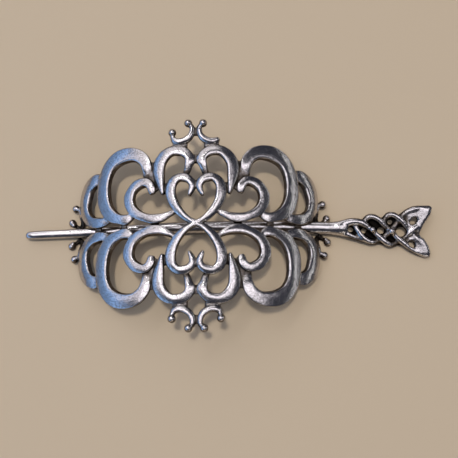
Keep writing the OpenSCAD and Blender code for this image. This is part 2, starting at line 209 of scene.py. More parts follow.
# Low bridges across the two middle lines, and the pad at their crossing.
CURL_TIE = rows(Stroke, (-1.4, 14.6, 1.4, 1.4, 0.9), (1.4, 14.6, 1.4, 1.4, 0.9))
COMMA_MIDDLE_TIE = rows(Stroke, (-1.6, 24.1, 1.7, 1.7, 0.9), (1.6, 24.1, 1.7, 1.7, 0.9))
CROWN_MIDDLE_TIE = rows(Stroke, (-1.2, 34.6, 1.6, 1.6, 0.8), (1.2, 34.6, 1.6, 1.6, 0.8))
INNER_WING_TIE = rows(Stroke, (15.4, -1.6, 1.5, 1.5, 0.9), (15.4, 1.6, 1.5, 1.5, 0.9))
BIG_WING_TIE = rows(Stroke, (28.2, -2, 1.4, 1.4, 0.9), (28.2, 2, 1.4, 1.4, 0.9))
OUTER_WING_TIE = rows(Stroke, (40.2, -2, 1.6, 1.6, 0.9), (40.2, 2, 1.6, 1.6, 0.9))
CROSSING_PAD = rows(Stroke, (-1.3, 0, 0.9, 0.9, 0.2), (1.3, 0, 0.9, 0.9, 0.2))

# Balls of the crowns and of the end crowns.
CROWN_BALLS = rows(Ball, (2.8, 37.7, 1.8, 36.6, 0.7), (8.8, 34.3, 8.7, 32.7, 0.8))
END_BALLS = rows(Ball, (53.9, 4.6, 53.1, 3.6, 0.4), (51.9, 9.9, 50.6, 9.5, 0.4))

# The shank, counted from the slide's middle line.
SHANK = rows(
    Waist, (-66.8, -0.3, 1), (-66.4, -0.3, 2.3), (-65, -0.25, 3.15), (-62, -0.2, 3.45),
    (-54, 0, 3.55), (-42, 0.3, 3.75), (-20, 1.3, 4.3), (0, 1.75, 4.65), (25, 1.4, 4.8),
    (47, 0.6, 4.95), (51, 0.4, 5.15), (54, 0.3, 5.8), (56.5, 0.3, 5),
)

# The braid, counted from the head's origin, in its plane.
UPPER_STRAND = rows(
    Strand, (-1.5, 2, 3, 0.2), (1.6, 2.8, 3.4, 0.2), (4.3, 3.5, 2.9, 0.3), (7.3, 3.3, 2.6, 0.3),
    (9.6, 2, 2.3, 0.2), (11.8, 0.2, 2.3, 0), (14.1, -1.9, 2.2, 0.2), (16.7, -4.3, 2.2, 0.3),
    (18.7, -5.4, 2.2, 0.1), (20.7, -4.8, 2.2, -0.2), (22.8, -3.6, 2.1, -0.2), (24.8, -2.2, 2.1, 0),
    (26.6, -0.4, 2.3, 0.3), (29, 1.6, 2.4, 0.2),
)
LOWER_STRAND = rows(
    Strand, (-1.5, 0.2, 3, 0), (1.6, -0.8, 2.8, 0), (4.2, -1.9, 2.3, 0), (6.5, -2.8, 2, 0),
    (8.8, -3.7, 1.9, 0),
)
CROSSING_STRAND = rows(
    Strand, (5.2, 2.3, 2, 0), (6.1, 0.6, 2, 0.2), (7.7, -1.7, 2.1, 0.3), (9.6, -3.5, 2.2, 0.3),
    (11.9, -4.3, 2.2, 0.1), (14.2, -3.8, 2.1, -0.2), (16.4, -2.3, 2.1, -0.1),
    (18.8, -0.2, 2.3, 0.2), (20.8, 2.2, 2.2, -0.1), (22.3, 4.4, 2.1, -0.2), (24, 6.1, 2.2, 0),
    (26.8, 7.7, 2.2, 0.2), (30.2, 8.4, 2, 0.2), (33.3, 8.3, 1.6, 0.1),
)
FIRST_BOW = rows(
    Strand, (8.2, 1.2, 1.9, -0.2), (8.9, 3.3, 2.1, -0.1), (10.2, 5, 2.2, 0.1),
    (12.2, 5.3, 2.2, 0.2), (14.4, 4.2, 2.2, 0.3), (16.1, 2.4, 2.2, 0.2), (18, 0.6, 2.3, 0),
    (19.6, -1, 2.2, 0.1), (21.5, -3, 2.2, 0.3), (24, -5.2, 2.2, 0.3), (27, -7.4, 2.1, 0.2),
    (30, -8.9, 1.9, 0.2), (32.4, -9.4, 1.6, 0.1),
)
SECOND_BOW = rows(
    Strand, (16.4, 2.4, 1.9, -0.2), (16.8, 4.4, 2, -0.1), (18, 5.8, 2.2, 0.1),
    (19.9, 5.9, 2.2, 0.2), (22, 4.6, 2.2, 0.3), (23.7, 2.8, 2.1, 0.3), (25.3, 0.6, 2.1, 0.1),
    (26.9, -1.3, 2.1, 0), (28.7, -3.4, 2, 0.2), (30.3, -6, 1.9, 0.2), (31.5, -8.2, 1.6, 0.1),
)
HEAD_HOLES = rows(
    Hole, (3.7, 0.5, 2.3, 1.7, -12), (8.65, 0, 2.1, 1.9, 0), (15.2, 0, 2.8, 2.6, 0),
    (22.8, -0.6, 3.9, 3.7, 0), (18.7, 3.2, 1.9, 1.6, 0), (27.5, 3.4, 3.3, 2.3, 35),
    (26.8, -5.3, 3.2, 2.1, -50),
)
HEAD_BEADS = rows(Waist, (11.8, 0.4, 2), (19.1, -0.3, 2.2))

# Outlines of the ground under the braid and of the tail's two blades, in the head's plane.
BRAID_GROUND = (
    (-1, 2.8), (1.6, 4), (4.3, 4.6), (8, 4.3), (10.2, 5.4), (12.2, 5.8), (14.6, 5), (16.5, 5),
    (18, 6.4), (19.8, 6.4), (22.6, 5.4), (25, 6), (27, 4), (26.5, -6.4), (24, -6), (21, -5.7),
    (18.7, -6.5), (16.5, -5.6), (14.5, -4.9), (12, -5.4), (10, -4.8), (7.6, -3.8), (4.2, -2.8),
    (1.6, -1.8), (-1, -0.8),
)
UPPER_POINT = (
    (24.5, 1), (23.6, 6), (27, 8.5), (31, 9.3), (33.8, 9.3), (34.7, 8.4), (34.2, 6), (31.6, 2.2),
    (29.6, -1.7), (26, -1.4),
)
LOWER_POINT = (
    (24, -2.8), (25.2, -6.9), (28.5, -9.4), (32, -10.7), (33.6, -10.4), (33.9, -8.4), (33.2, -6),
    (31.6, -3.5), (29.6, -1.7), (26, -1.4),
)


class Detail(Enum):
    """How finely a casting is drawn: millimetres between its points, and looks cast from each."""

    DRAFT = (0.36, 6)
    FINAL = (0.21, 14)


class Side(Enum):
    """The side of a stroke's way on which its outer half lies."""

    LEFT = 1
    RIGHT = -1


def linear(hexcode: str) -> tuple[float, ...]:
    """Turns an sRGB hex colour into linear light, by the curve of the sRGB standard.

    Args:
        hexcode: The colour as "#RRGGBB".

    Returns:
        Red, green, blue and an alpha of one.
    """
    parts = [int(hexcode[i : i + 2], 16) / 255 for i in (1, 3, 5)]
    red, green, blue = (c / 12.92 if c <= 0.04045 else ((c + 0.055) / 1.055) ** 2.4 for c in parts)
    return (red, green, blue, 1.0)


def refine(table: tuple, steps: int) -> np.ndarray:
    """Draws a smooth row of stations through a table, on a Catmull-Rom curve.

    Args:
        table: The rows, all of one kind.
        steps: Stations from one row to the next.

    Returns:
        The stations, one a line, with the table's own columns.
    """
    known = np.array(table, float)
    ends = np.vstack([known[:1], known, known[-1:]])
    places = np.arange(0, (len(known) - 1) * steps + 1) / steps
    first = np.minimum(places.astype(int), len(known) - 2)
    t = (places - first)[:, None]
    a, b, c, d = (ends[first + k] for k in range(4))
    bend, twist = a * 2 - b * 5 + c * 4 - d, b * 3 - a - c * 3 + d
    return b + (c - a) * t / 2 + bend * t**2 / 2 + twist * t**3 / 2


def left_of(stations: np.ndarray) -> np.ndarray:
    """Finds the left of each station's way, in the plane of the first two columns.

    Args:
        stations: The stations, one a line.

    Returns:
        One unit vector a station.
    """
    way = np.gradient(stations[:, :2], axis=0)
    left = np.stack([-way[:, 1], way[:, 0]], axis=1)
    return left / np.linalg.norm(left, axis=1)[:, None]


def circle(points: int) -> tuple[np.ndarray, np.ndarray]:
    """Gives the cosines and the sines of even turns round a circle."""
    turns = np.linspace(0, 2 * math.pi, points, endpoint=False)
    return np.cos(turns), np.sin(turns)


def level(outline: np.ndarray, height: float) -> np.ndarray:
    """Gives the corners of a flat outline at one height."""
    return np.column_stack([outline, np.full(len(outline), height)])


def read_vectors(items: bpy.types.bpy_prop_collection, name: str) -> np.ndarray:
    """Reads one vector of every item.

    Args:
        items: The items, such as a mesh's vertices.
        name: What the vector is called.

    Returns:
        The vectors, one a line.
    """
    values = np.zeros(len(items) * 3, np.float32)
    items.foreach_get(name, values)
    return values.reshape(-1, 3).astype(float)


def put(name: str, data: bpy.types.ID) -> Object:
    """Puts a mesh, a lamp or a camera into the scene.

    Args:
        name: What its object is called.
        data: The mesh, lamp or camera.

    Returns:
        The object.
    """
    made = bpy.data.objects.new(name, data)
    bpy.context.scene.collection.objects.link(made)
    return made


def evaluated(made: Object) -> Object:
    """Gives an object as its modifiers leave it."""
    return made.evaluated_get(bpy.context.evaluated_depsgraph_get())


def take_mesh(made: Object, *tools: Object) -> Mesh:
    """Takes an object's final mesh out of the scene.

    Args:
        made: The object, which is removed.
        tools: Objects that its modifiers use, which are removed too.

    Returns:
        The mesh.
    """
    final = bpy.data.meshes.new_from_object(evaluated(made))
    for used in (made, *tools):
        mesh = used.data
        bpy.data.objects.remove(used)
        bpy.data.meshes.remove(mesh)
    return final


@dataclass
class Shells:
    """Closed shells in millimetres that overlap where the real piece is one casting."""

    points: list[np.ndarray] = field(default_factory=list)
    faces: list[tuple[int, ...]] = field(default_factory=list)
    around: int = 24
    cap_rings: int = 8
    # A cap ends in a small ring, two degrees short of its pole.
    cap_degrees: float = 88.0

    def skin(self, rings: np.ndarray) -> None:
        """Adds the skin over a row of rings, closed at both ends.

        Args:
            rings: Ring, point in the ring, and X, Y and Z.
        """
        count, around = rings.shape[:2]
        first = sum(len(points) for points in self.points)
        last = first + (count - 1) * around
        for low in range(first, last, around):
            for i in range(around):
                j = (i + 1) % around
                self.faces.append((low + i, low + j, low + around + j, low + around + i))
        self.faces.append(tuple(range(first, first + around))[::-1])
        self.faces.append(tuple(range(last, last + around)))
        self.points.append(rings.reshape(-1, 3))

    def capsule(self, start: np.ndarray, end: np.ndarray, diameters: Pair) -> None:
        """Adds a round bar with round ends, or a ball where both ends are one point.

        Args:
            start: Middle of the first end.
            end: Middle of the last end.
            diameters: Diameter at either end.
        """
        way = end - start
        length = float(np.linalg.norm(way))
        axis = way / length if length > 0 else np.array([0.0, 0.0, 1.0])
        # A bar across the slide takes its side from X, any other one from Y.
        aside = np.cross(axis, [0.0, 1.0, 0.0] if abs(axis[1]) < 0.9 else [1.0, 0.0, 0.0])
        aside /= np.linalg.norm(aside)
        cos, sin = circle(self.around)
        ring = np.outer(cos, aside) + np.outer(sin, np.cross(axis, aside))
        rings = []
        degrees = ((-self.cap_degrees, 0), (0, self.cap_degrees))
        for middle, size, (low, high) in zip((start, end), diameters, degrees):
            for tip in np.radians(np.linspace(low, high, self.cap_rings)):
                lift, out = size / 2 * math.sin(tip), size / 2 * math.cos(tip)
                rings.append(middle + axis * lift + ring * out)
        self.skin(np.stack(rings))

    def mesh(self, name: str) -> Mesh:
        """Turns the shells into one mesh, still in millimetres.

        Args:
            name: What the mesh is called.

        Returns:
            The mesh.
        """
        made = bpy.data.meshes.new(name)
        made.from_pydata(np.vstack(self.points).tolist(), [], self.faces)
        return made


@dataclass(frozen=True)
class Arch:
    """The cylinder to which the slide is bent, with its axis across the slide."""

    radius: float = 74.5
    rise: float = CREST[2]
    middle: float = CREST[0]

    def place(self, along: np.ndarray, across: np.ndarray, height: np.ndarray) -> np.ndarray:
        """Bends points of the flat drawing on to the arch.

        Args:
            along: Places along the bend.
            across: Places across the slide.
            height: Heights over the bent face.

        Returns:
            The points in the part's frame, in millimetres.
        """
        turn = along / self.radius
        out = self.radius + height
        x = self.middle + out * np.sin(turn)
        z = self.rise - self.radius + out * np.cos(turn)
        return np.stack([x, across + 0 * turn, z], axis=-1)

    def from_axis(self, points: np.ndarray) -> np.ndarray:
        """Gives the vectors from the bend's axis to points in millimetres."""
        return (points - np.array([self.middle, 0.0, self.rise - self.radius])) * (1, 0, 1)


@dataclass(frozen=True)
class Cut:
    """How a kind of stroke is cut: its facet's fall, the share of it that stays, and its wall."""

    fall: float
    stays: float
    wall: tuple[Corner, ...]


@dataclass
class Casting(ABC):
    """What any cast piece does with its shells: one soft skin, its masks of painted shade and
    oxidation, its finish and its body.

    Lengths are in millimetres. waves holds the length and the height of each unevenness.
    """

    detail: Detail
    name: str
    node: str
    body: str
    slot: str
    soften: int
    look_reach: float
    coarser: float = 1.0
    most_triangles: int = 180000
    waves: tuple[Pair, ...] = ((5.0, 0.05), (1.6, 0.018))
    look_lift: float = 0.05
    look_spread: float = 0.9

    @abstractmethod
    def shape(self) -> Mesh:
        """Gives the piece's overlapping shells as one mesh, in millimetres."""

    @abstractmethod
    def depth(self, places: np.ndarray, outward: np.ndarray) -> np.ndarray:
        """Gives from 0 to 1 how deep points lie, and where shade is painted on them."""

    def build(self) -> Object:
        """Builds the piece and stores its wear.

        Returns:
            The piece, with its mesh in metres.
        """
        melted = self.melt(self.shape())
        melted.name = self.name
        self.keep_biggest(melted)
        self.ripple(melted)
        melted.transform(Matrix.Scale(MM, 4))
        melted.shade_smooth()
        self.store_shade_and_wear(melted)
        return put(self.name, melted)

    def add_skin(self, shells: Object) -> None:
        """Adds the modifier that melts overlapping shells into one skin.

        Args:
            shells: The shells, in millimetres.
        """
        spacing, _ = self.detail.value
        remesh = shells.modifiers.new("skin", "REMESH")
        remesh.mode = "VOXEL"
        remesh.voxel_size = spacing * self.coarser

    def melt(self, mesh: Mesh) -> Mesh:
        """Melts overlapping shells into one skin, with the soft edges of a tumbled casting.

        Args:
            mesh: The shells, in millimetres.

        Returns:
            The skin, in millimetres.
        """
        shells = put(self.name + "_shells", mesh)
        self.add_skin(shells)
        soft = shells.modifiers.new("soft", "SMOOTH")
        soft.iterations = self.soften
        thin = shells.modifiers.new("thin", "DECIMATE")
        skin = evaluated(shells).data
        skin.calc_loop_triangles()
        thin.ratio = min(1.0, self.most_triangles / len(skin.loop_triangles))
        return take_mesh(shells)

    @staticmethod
    def keep_biggest(mesh: Mesh) -> None:
        """Takes out closed hollows inside the casting and crumbs beside it.

        Args:
            mesh: The mesh, which is changed in place.
        """
        group = np.arange(len(mesh.vertices))
        ends = np.zeros(len(mesh.edges) * 2, np.int32)
        mesh.edges.foreach_get("vertices", ends)
        first, second = ends.reshape(-1, 2).T
        while True:
            low = np.minimum(group[first], group[second])
            before = group.copy()
            np.minimum.at(group, first, low)
            np.minimum.at(group, second, low)
            group = group[group]
            if np.array_equal(before, group):
                break
        names, sizes = np.unique(group, return_counts=True)
        crumbs = np.flatnonzero(group != names[sizes.argmax()])
        if len(crumbs) == 0:
            return
        work = bmesh.new()
        work.from_mesh(mesh)
        work.verts.ensure_lookup_table()
        bmesh.ops.delete(work, geom=[work.verts[i] for i in crumbs], context="VERTS")
        work.to_mesh(mesh)
        work.free()

    def ripple(self, mesh: Mesh) -> None:
        """Moves the skin a few hundredths of a millimetre, as uneven as a casting filed by hand.

        Args:
            mesh: The mesh in millimetres, which is changed in place.
        """
        places = read_vectors(mesh.vertices, "co")
        outward = read_vectors(mesh.vertices, "normal")
        for length, height in self.waves:
            swell = np.array([noise.noise(Vector(place)) for place in places / length])
            places += outward * swell[:, None] * height
        mesh.vertices.foreach_set("co", places.ravel())
        mesh.update()

    def looks(self) -> list[Vector]:
        """Spreads looks evenly over the half sphere on a point, by the golden angle.

        Returns:
            Their unit vectors, with Z out of the skin.
        """
        golden = math.pi * (3 - math.sqrt(5))
        _, count = self.detail.value
        looks = []
        for i in range(count):
            rise = 1 - (i + 0.5) / count * self.look_spread
            out = math.sqrt(1 - rise * rise)
            looks.append(Vector((out * math.cos(golden * i), out * math.sin(golden * i), rise)))
        return looks

    def store_shade_and_wear(self, mesh: Mesh) -> None:
        """Stores how shut in and deep points are, for painted shade and oxidation.

        Args:
            mesh: The skin in metres, which gets the two values.
        """
        places = read_vectors(mesh.vertices, "co")
        outward = read_vectors(mesh.vertices, "normal")
        tree = BVHTree.FromPolygons(places.tolist(), [face.vertices for face in mesh.polygons])
        starts = places + outward * self.look_lift * MM
        looks, far, up = self.looks(), self.look_reach * MM, Vector((0.0, 0.0, 1.0))
        # How shut in each point is; the finish paints hollows dark with it, as shade and oxidation.
        shut = np.zeros(len(places), np.float32)
        for index, (start, way) in enumerate(zip(starts.tolist(), outward.tolist())):
            turn = up.rotation_difference(Vector(way)).to_matrix()
            hits = (tree.ray_cast(start, turn @ look, far)[3] for look in looks)
            shut[index] = sum(1 - hit / far for hit in hits if hit is not None) / len(looks)
        sunk_and_shaded = np.clip(self.depth(places / MM, outward), 0, 1).astype(np.float32)
        for name, values in zip(SHADE_AND_WEAR, (shut, sunk_and_shaded)):
            mesh.attributes.new(name, "FLOAT", "POINT").data.foreach_set("value", values)

    def dress(self, piece: Object, material: Material) -> None:
        """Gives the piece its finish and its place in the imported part.

        Args:
            piece: The piece, finished.
            material: Its finish.
        """
        # The cut through the stick leaves an empty slot, which would hide the finish.
        piece.data.materials.clear()
        piece.data.materials.append(material)
        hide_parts(self.node)
        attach(piece, self.body)


@dataclass
class SlideCasting(Casting):
    """The bent openwork slide, cast in one piece.

    least is the least thickness under a crest, and most_fall the share of a stroke's own thickness
    that its facet may fall. stem holds the two diameters of a ball's stem, and the sizes of bar are
    those of the two bars on which the stick rests. A steep wall, one that faces outward by less
    than wall_facing, is painted darker by wall_gain and up to wall_most, as shade and as unpolished
    metal.
    """

    name: str = "slide_casting"
    node: str = "slide_plate"
    body: str = "slide"
    slot: str = "cast_slide_metal"
    soften: int = 3
    look_reach: float = 3.0
    arch: Arch = field(default_factory=Arch)
    narrow: Cut = Cut(0.9, 0.9, NARROW_WALL)
    broad: Cut = Cut(0.7, 0.6, BROAD_WALL)
    tie: Cut = Cut(0.2, 0.9, NARROW_WALL)
    thickness: float = 2.1
    least: float = 1.2
    most_fall: float = 0.6
    steps: int = 6
    ball: float = 2.94
    stem: Pair = (1.47, 1.764)
    stem_drop: float = 0.1
    bar: float = 1.5
    bar_clear: float = 0.25
    bar_half: float = 2.6
    bar_at: float = 51.6
    bar_inset: float = 2.0
    wall_facing: float = 0.85
    wall_gain: float = 2.4
    wall_most: float = 0.75

    def section(self, row: np.ndarray, cut: Cut, foot: float) -> np.ndarray:
        """Gives a stroke's section: an inner wall, a crest, a facet and an outer wall.

        Args:
            row: The station.
            cut: How the stroke is cut.
            foot: Height of the underside over the bent face.

        Returns:
            Distance to the outer side and height over the bent face, corner by corner.
        """
        inner, outer, drop = row[2:5]
        fallen = min(cut.fall, (-foot - drop) * self.most_fall) * cut.stays
        corners = np.array(cut.wall + FACET)
        out = corners[:, 0] * np.where(corners[:, 0] < 0, inner, outer)
        height = corners[:, 1:] @ np.array([foot, -drop, -fallen, 1.0])
        return np.stack([out, height], axis=1)

    def stroke(
        self, shells: Shells, table: tuple, side: Side, cut: Cut, base: float, flip: Flip
    ) -> None:
        """Sweeps a stroke along its table.

        Args:
            shells: Where the stroke goes.
            table: Its rows, for the quarter at the right and away from the viewer.
            side: Where its outer half lies.
            cut: How it is cut.
            base: Height of the bent face over its underside.
            flip: 1 or -1 along and across, for the quarter that it belongs to.
        """
        stations = refine(table, self.steps)
        rings = []
        for row, aside in zip(stations, left_of(stations)):
            foot = -max(base, row[4] + self.least)
            points = self.section(row, cut, foot)
            along = row[0] + side.value * points[:, 0] * aside[0]
            across = row[1] + side.value * points[:, 0] * aside[1]
            rings.append(self.arch.place(along * flip[0], across * flip[1], points[:, 1]))
        shells.skin(np.stack(rings))

    def ties(self, shells: Shells, tables: tuple, flip: Flip) -> None:
        """Adds the low bridges that join strokes, whose crests lie under those of the strokes.

        Args:
            shells: Where the bridges go.
            tables: The tables of the bridges.
            flip: 1 or -1 along and across.
        """
        for table in tables:
            self.stroke(shells, table, Side.LEFT, self.tie, self.thickness - self.tie.fall, flip)

    def quarter(self, shells: Shells, flip: Flip) -> None:
        """Adds one quarter; the one at the right and away from the viewer has lost a ball.

        Args:
            shells: Where the quarter goes.
            flip: 1 or -1 along and across.
        """
        broken = flip == (1, 1)
        for table in (HEART, COMMA, BROKEN_CROWN if broken else CROWN):
            self.stroke(shells, table, Side.RIGHT, self.narrow, self.thickness, flip)
        for table in (INNER_WING, BIG_WING, OUTER_WING):
            self.stroke(shells, table, Side.LEFT, self.broad, self.thickness, flip)
        self.stroke(shells, END_CROWN, Side.LEFT, self.narrow, 0, flip)
        self.ties(shells, (CROWN_NECK, HEART_TIE, COMMA_TIE), flip)
        for ball in (CROWN_BALLS[:1] if broken else CROWN_BALLS) + END_BALLS:
            middle, foot = self.arch.place(
                np.array([ball.along, ball.stem_along]) * flip[0],
                np.array([ball.across, ball.stem_across]) * flip[1],
                -np.array([ball.drop, ball.drop + self.stem_drop]),
            )
            shells.capsule(middle, middle, (self.ball, self.ball))
            shells.capsule(middle, foot, self.stem)

    def end_bar(self, shells: Shells, way: int) -> None:
        """Adds the bar that joins the two halves of an end crown, on which the stick rests.

        Args:
            shells: Where the bar goes.
            way: 1 for the end at the right, -1 for the one at the left.
        """
        radius = self.arch.radius
        along = self.arch.middle + way * (radius - self.bar_inset) * math.sin(self.bar_at / radius)
        half, height = self.bar_half - self.bar / 2, self.bar_clear + self.bar / 2
        start, end = (np.array([along, side * half, height]) for side in (-1, 1))
        shells.capsule(start, end, (self.bar, self.bar))

    def shape(self) -> Mesh:
        """Gives the slide's shells: four quarters, and what joins them across the middle lines.

        Returns:
            The mesh, in millimetres.
        """
        shells = Shells()
        for flip in ((1, 1), (1, -1), (-1, 1), (-1, -1)):
            self.quarter(shells, flip)
        self.ties(shells, (CROSSING_PAD,), (1, 1))
        for way in (1, -1):
            self.ties(shells, (CURL_TIE, COMMA_MIDDLE_TIE, CROWN_MIDDLE_TIE), (1, way))
            self.ties(shells, (INNER_WING_TIE, BIG_WING_TIE, OUTER_WING_TIE), (way, 1))
            self.end_bar(shells, way)
        return shells.mesh(self.name)

    def depth(self, places: np.ndarray, outward: np.ndarray) -> np.ndarray:
        """Finds painted shade and oxidation, the larger of depth under the bent face and of
        steepness.

        Args:
            places: Points of the skin in millimetres, one a line.
            outward: The skin's way out at each.

        Returns:
            One value a point, 0 for a polished face and 1 for the underside.
        """
        from_axis = self.arch.from_axis(places)
        far = np.linalg.norm(from_axis, axis=1)
        facing = (outward * from_axis).sum(axis=1) / far
        # Steep walls are painted darker, as shade and as unpolished metal.
        steep = np.clip((self.wall_facing - facing) * self.wall_gain, 0, self.wall_most)
        # Points deeper under the bent face are painted darker, as shade and as unpolished metal.
        return np.maximum((self.arch.radius - far) / self.thickness, steep)


@dataclass
class StickCasting(Casting):
    """The stick: a tapered oval shank, a flat pierced braid and a two-pointed tail, in one piece.

    Places along the stick count from the slide's middle line, and those in the head from head, in
    a plane with its own roll and droop in degrees. The strands sink from blade_from on, where the
    two blades' faces rise over their ends.
    """

    name: str = "stick_casting"
    node: str = "hair_stick"
    body: str = "stick"
    slot: str = "cast_stick_metal"
    soften: int = 7
    look_reach: float = 2.0
    coarser: float = 1.4
    middle: float = CREST[0]
    seat: float = 2.05
    flat_share: float = 0.62
    shank_steps: int = 4
    shank_around: int = 32
    head: Point = (54.0, -0.8, 3.65)
    roll: float = 12.0
    droop: float = 0.6
    strand_height: float = 2.3
    strand_steps: int = 5
    strand_around: int = 20
    # The tables' widths and heights, grown by as much as the melted skin loses of them.
    strand_swell: float = 1.04
    strand_relief: float = 1.5
    ground: Pair = (-1.0, -0.1)
    blade: Pair = (0.6, 1.15)
    blade_inset: float = 0.7
    blade_from: float = 28.5
    blade_sink: float = 0.35
    sink_run: float = 2.0
    bead_lift: float = 0.1
    bead_swell: float = 1.25
    hole_around: int = 24
    hole_reach: float = 4.0
    # What darkens a point: its depth in the braid, as oxidation and painted shade in the grooves;
    # facing down on the shank, as painted shade; less the blades' polish.
    groove_from: float = 0.4
    groove_gain: float = 1.6
    belly_shade_facing: float = 0.6
    belly_shade_gain: float = 0.6
    neck_run: float = 4.0
    polish: float = 0.7
    polish_run: float = 1.5
    polish_facing: Pair = (2.0, 0.6)

    def head_frame(self) -> tuple[np.ndarray, np.ndarray]:
        """Finds how the head's plane lies in the part's frame.

        Returns:
            Its turn as a matrix, and its origin in millimetres.
        """
        turn = Euler((math.radians(self.roll), math.radians(self.droop), 0.0)).to_matrix()
        return np.array(turn), np.array(self.head) + np.array([self.middle, 0.0, 0.0])

    def from_head(self, points: np.ndarray) -> np.ndarray:
        """Turns points of the head's plane into the part's frame, in millimetres."""
        turn, origin = self.head_frame()
        return points @ turn.T + origin

    def strand(self, shells: Shells, table: tuple) -> None:
        """Sweeps a strand of the braid along its table.

        Args:
            shells: Where the strand goes.
            table: Its rows, in the head's plane.
        """
        stations = refine(table, self.strand_steps)
        cos, sin = circle(self.strand_around)
        rings = []
        for (along, across, width, height), aside in zip(stations, left_of(stations)):
            out = cos * width / 2 * self.strand_swell
            sink = self.blade_sink * np.clip((along - self.blade_from) / self.sink_run, 0, 1)
            up = height * self.strand_relief - sink + sin * self.strand_height / 2
            rings.append(np.stack([along + aside[0] * out, across + aside[1] * out, up], axis=1))
        shells.skin(self.from_head(np.stack(rings)))

    def shank(self, shells: Shells) -> None:
        """Adds the tapered shank with its blunt tip, an oval that is rolled with the head.

        Args:
            shells: Where the shank goes.
        """
        cos, sin = circle(self.shank_around)
        cos_roll, sin_roll = math.cos(math.radians(self.roll)), math.sin(math.radians(self.roll))
        rings = []
        for along, across, width in refine(SHANK, self.shank_steps):
            out = cos * width / 2
            up = sin * width / 2 * self.flat_share
            middle = self.seat + width / 2 * math.hypot(sin_roll, self.flat_share * cos_roll)
            y = across + out * cos_roll - up * sin_roll
            z = middle + out * sin_roll + up * cos_roll
            rings.append(np.stack([np.full(len(cos), along + self.middle), y, z], axis=1))
        shells.skin(np.stack(rings))

    def plates(self, shells: Shells) -> None:
        """Adds the ground under the braid, and the two blades with their sloping edges.

        Args:
            shells: Where the plates go.
        """
        ground = [level(np.array(BRAID_GROUND), height) for height in self.ground]
        shells.skin(self.from_head(np.stack(ground)))
        for outline in (UPPER_POINT, LOWER_POINT):
            edge = np.array(outline)
            middle = edge.mean(axis=0)
            inset = middle + (edge - middle) * self.blade_inset
            sides = [level(edge, height) for height in (self.ground[0], self.blade[0])]
            shells.skin(self.from_head(np.stack([*sides, level(inset, self.blade[1])])))

    def holes(self) -> Shells:
        """Gives the shells of the holes through the head.

        Returns:
            The shells, in the part's frame.
        """
        shells = Shells()
        cos, sin = circle(self.hole_around)
        for along, across, length, width, turn in HEAD_HOLES:
            round_x, round_y, angle = cos * length / 2, sin * width / 2, math.radians(turn)
            x = along + round_x * math.cos(angle) - round_y * math.sin(angle)
            y = across + round_x * math.sin(angle) + round_y * math.cos(angle)
            ends = [level(np.stack([x, y], axis=1), end * self.hole_reach) for end in (-1, 1)]
            shells.skin(self.from_head(np.stack(ends)))
        return shells

    def shape(self) -> Mesh:
        """Gives the stick's shells, melted once so that the holes can be cut through them all.

        Returns:
            The pierced mesh, in millimetres.
        """
        shells = Shells()
        self.shank(shells)
        for table in (UPPER_STRAND, LOWER_STRAND, CROSSING_STRAND, FIRST_BOW, SECOND_BOW):
            self.strand(shells, table)
        self.plates(shells)
        for along, across, size in HEAD_BEADS:
            top = np.array([along, across, self.strand_height / 2 + self.bead_lift])
            middle, diameter = self.from_head(top), size * self.bead_swell
            shells.capsule(middle, middle, (diameter, diameter))
        solid = put("solid", shells.mesh(self.name))
        tool = put("tool", self.holes().mesh(self.name + "_holes"))
        self.add_skin(solid)
        cut = solid.modifiers.new("holes", "BOOLEAN")
        cut.operation = "DIFFERENCE"
        cut.solver = "MANIFOLD"
        cut.object = tool
        return take_mesh(solid, tool)

    def depth(self, places: np.ndarray, outward: np.ndarray) -> np.ndarray:
        """Finds oxidation and painted shade in the braid, and painted shade under the shank.

        Args:
            places: Points of the skin in millimetres, one a line.
            outward: The skin's way out at each.

        Returns:
            One value a point, 0 for a polished face and 1 for the bottom of a groove.
        """
        turn, origin = self.head_frame()
        along, height = ((places - origin) @ turn)[:, [0, 2]].T
        # Depth in the braid darkens its grooves, as oxidation and painted shade.
        under = (self.strand_height / 2 + self.groove_from - height) / self.strand_height
        # Facing down on the shank is painted darker, as shade.
        belly_shade = (self.belly_shade_facing - outward[:, 2]) * self.belly_shade_gain
        in_head = np.clip(along / self.neck_run, 0, 1)
        gain, least = self.polish_facing
        polished = np.clip((along - self.blade_from) / self.polish_run, 0, 1)
        polished *= np.clip(outward[:, 2] * gain + least, 0, 1)
        sunk_and_shaded = under * self.groove_gain * in_head + belly_shade * (1 - in_head)
        return sunk_and_shaded * (1 - polished * self.polish)


def add_node(
    tree: NodeTree,
    kind: str,
    settings: Named | None = None,
    links: Named | None = None,
    output: int | str = 0,
) -> NodeSocket | None:
    """Adds one node with its settings and links.

    Args:
        tree: The tree that it joins.
        kind: Blender's name of the node.
        settings: Values by input name or number, or by the node's own setting.
        links: Sockets that feed its inputs, by input name or number.
        output: Which of its outputs is wanted.

    Returns:
        That output, or None from a node that has none.
    """
    made = tree.nodes.new(kind)
    for name, value in (settings or {}).items():
        if isinstance(name, int) or name in made.inputs:
            made.inputs[name].default_value = value
        else:
            setattr(made, name, value)
    for name, source in (links or {}).items():
        tree.links.new(source, made.inputs[name])
    return made.outputs[output] if made.outputs else None


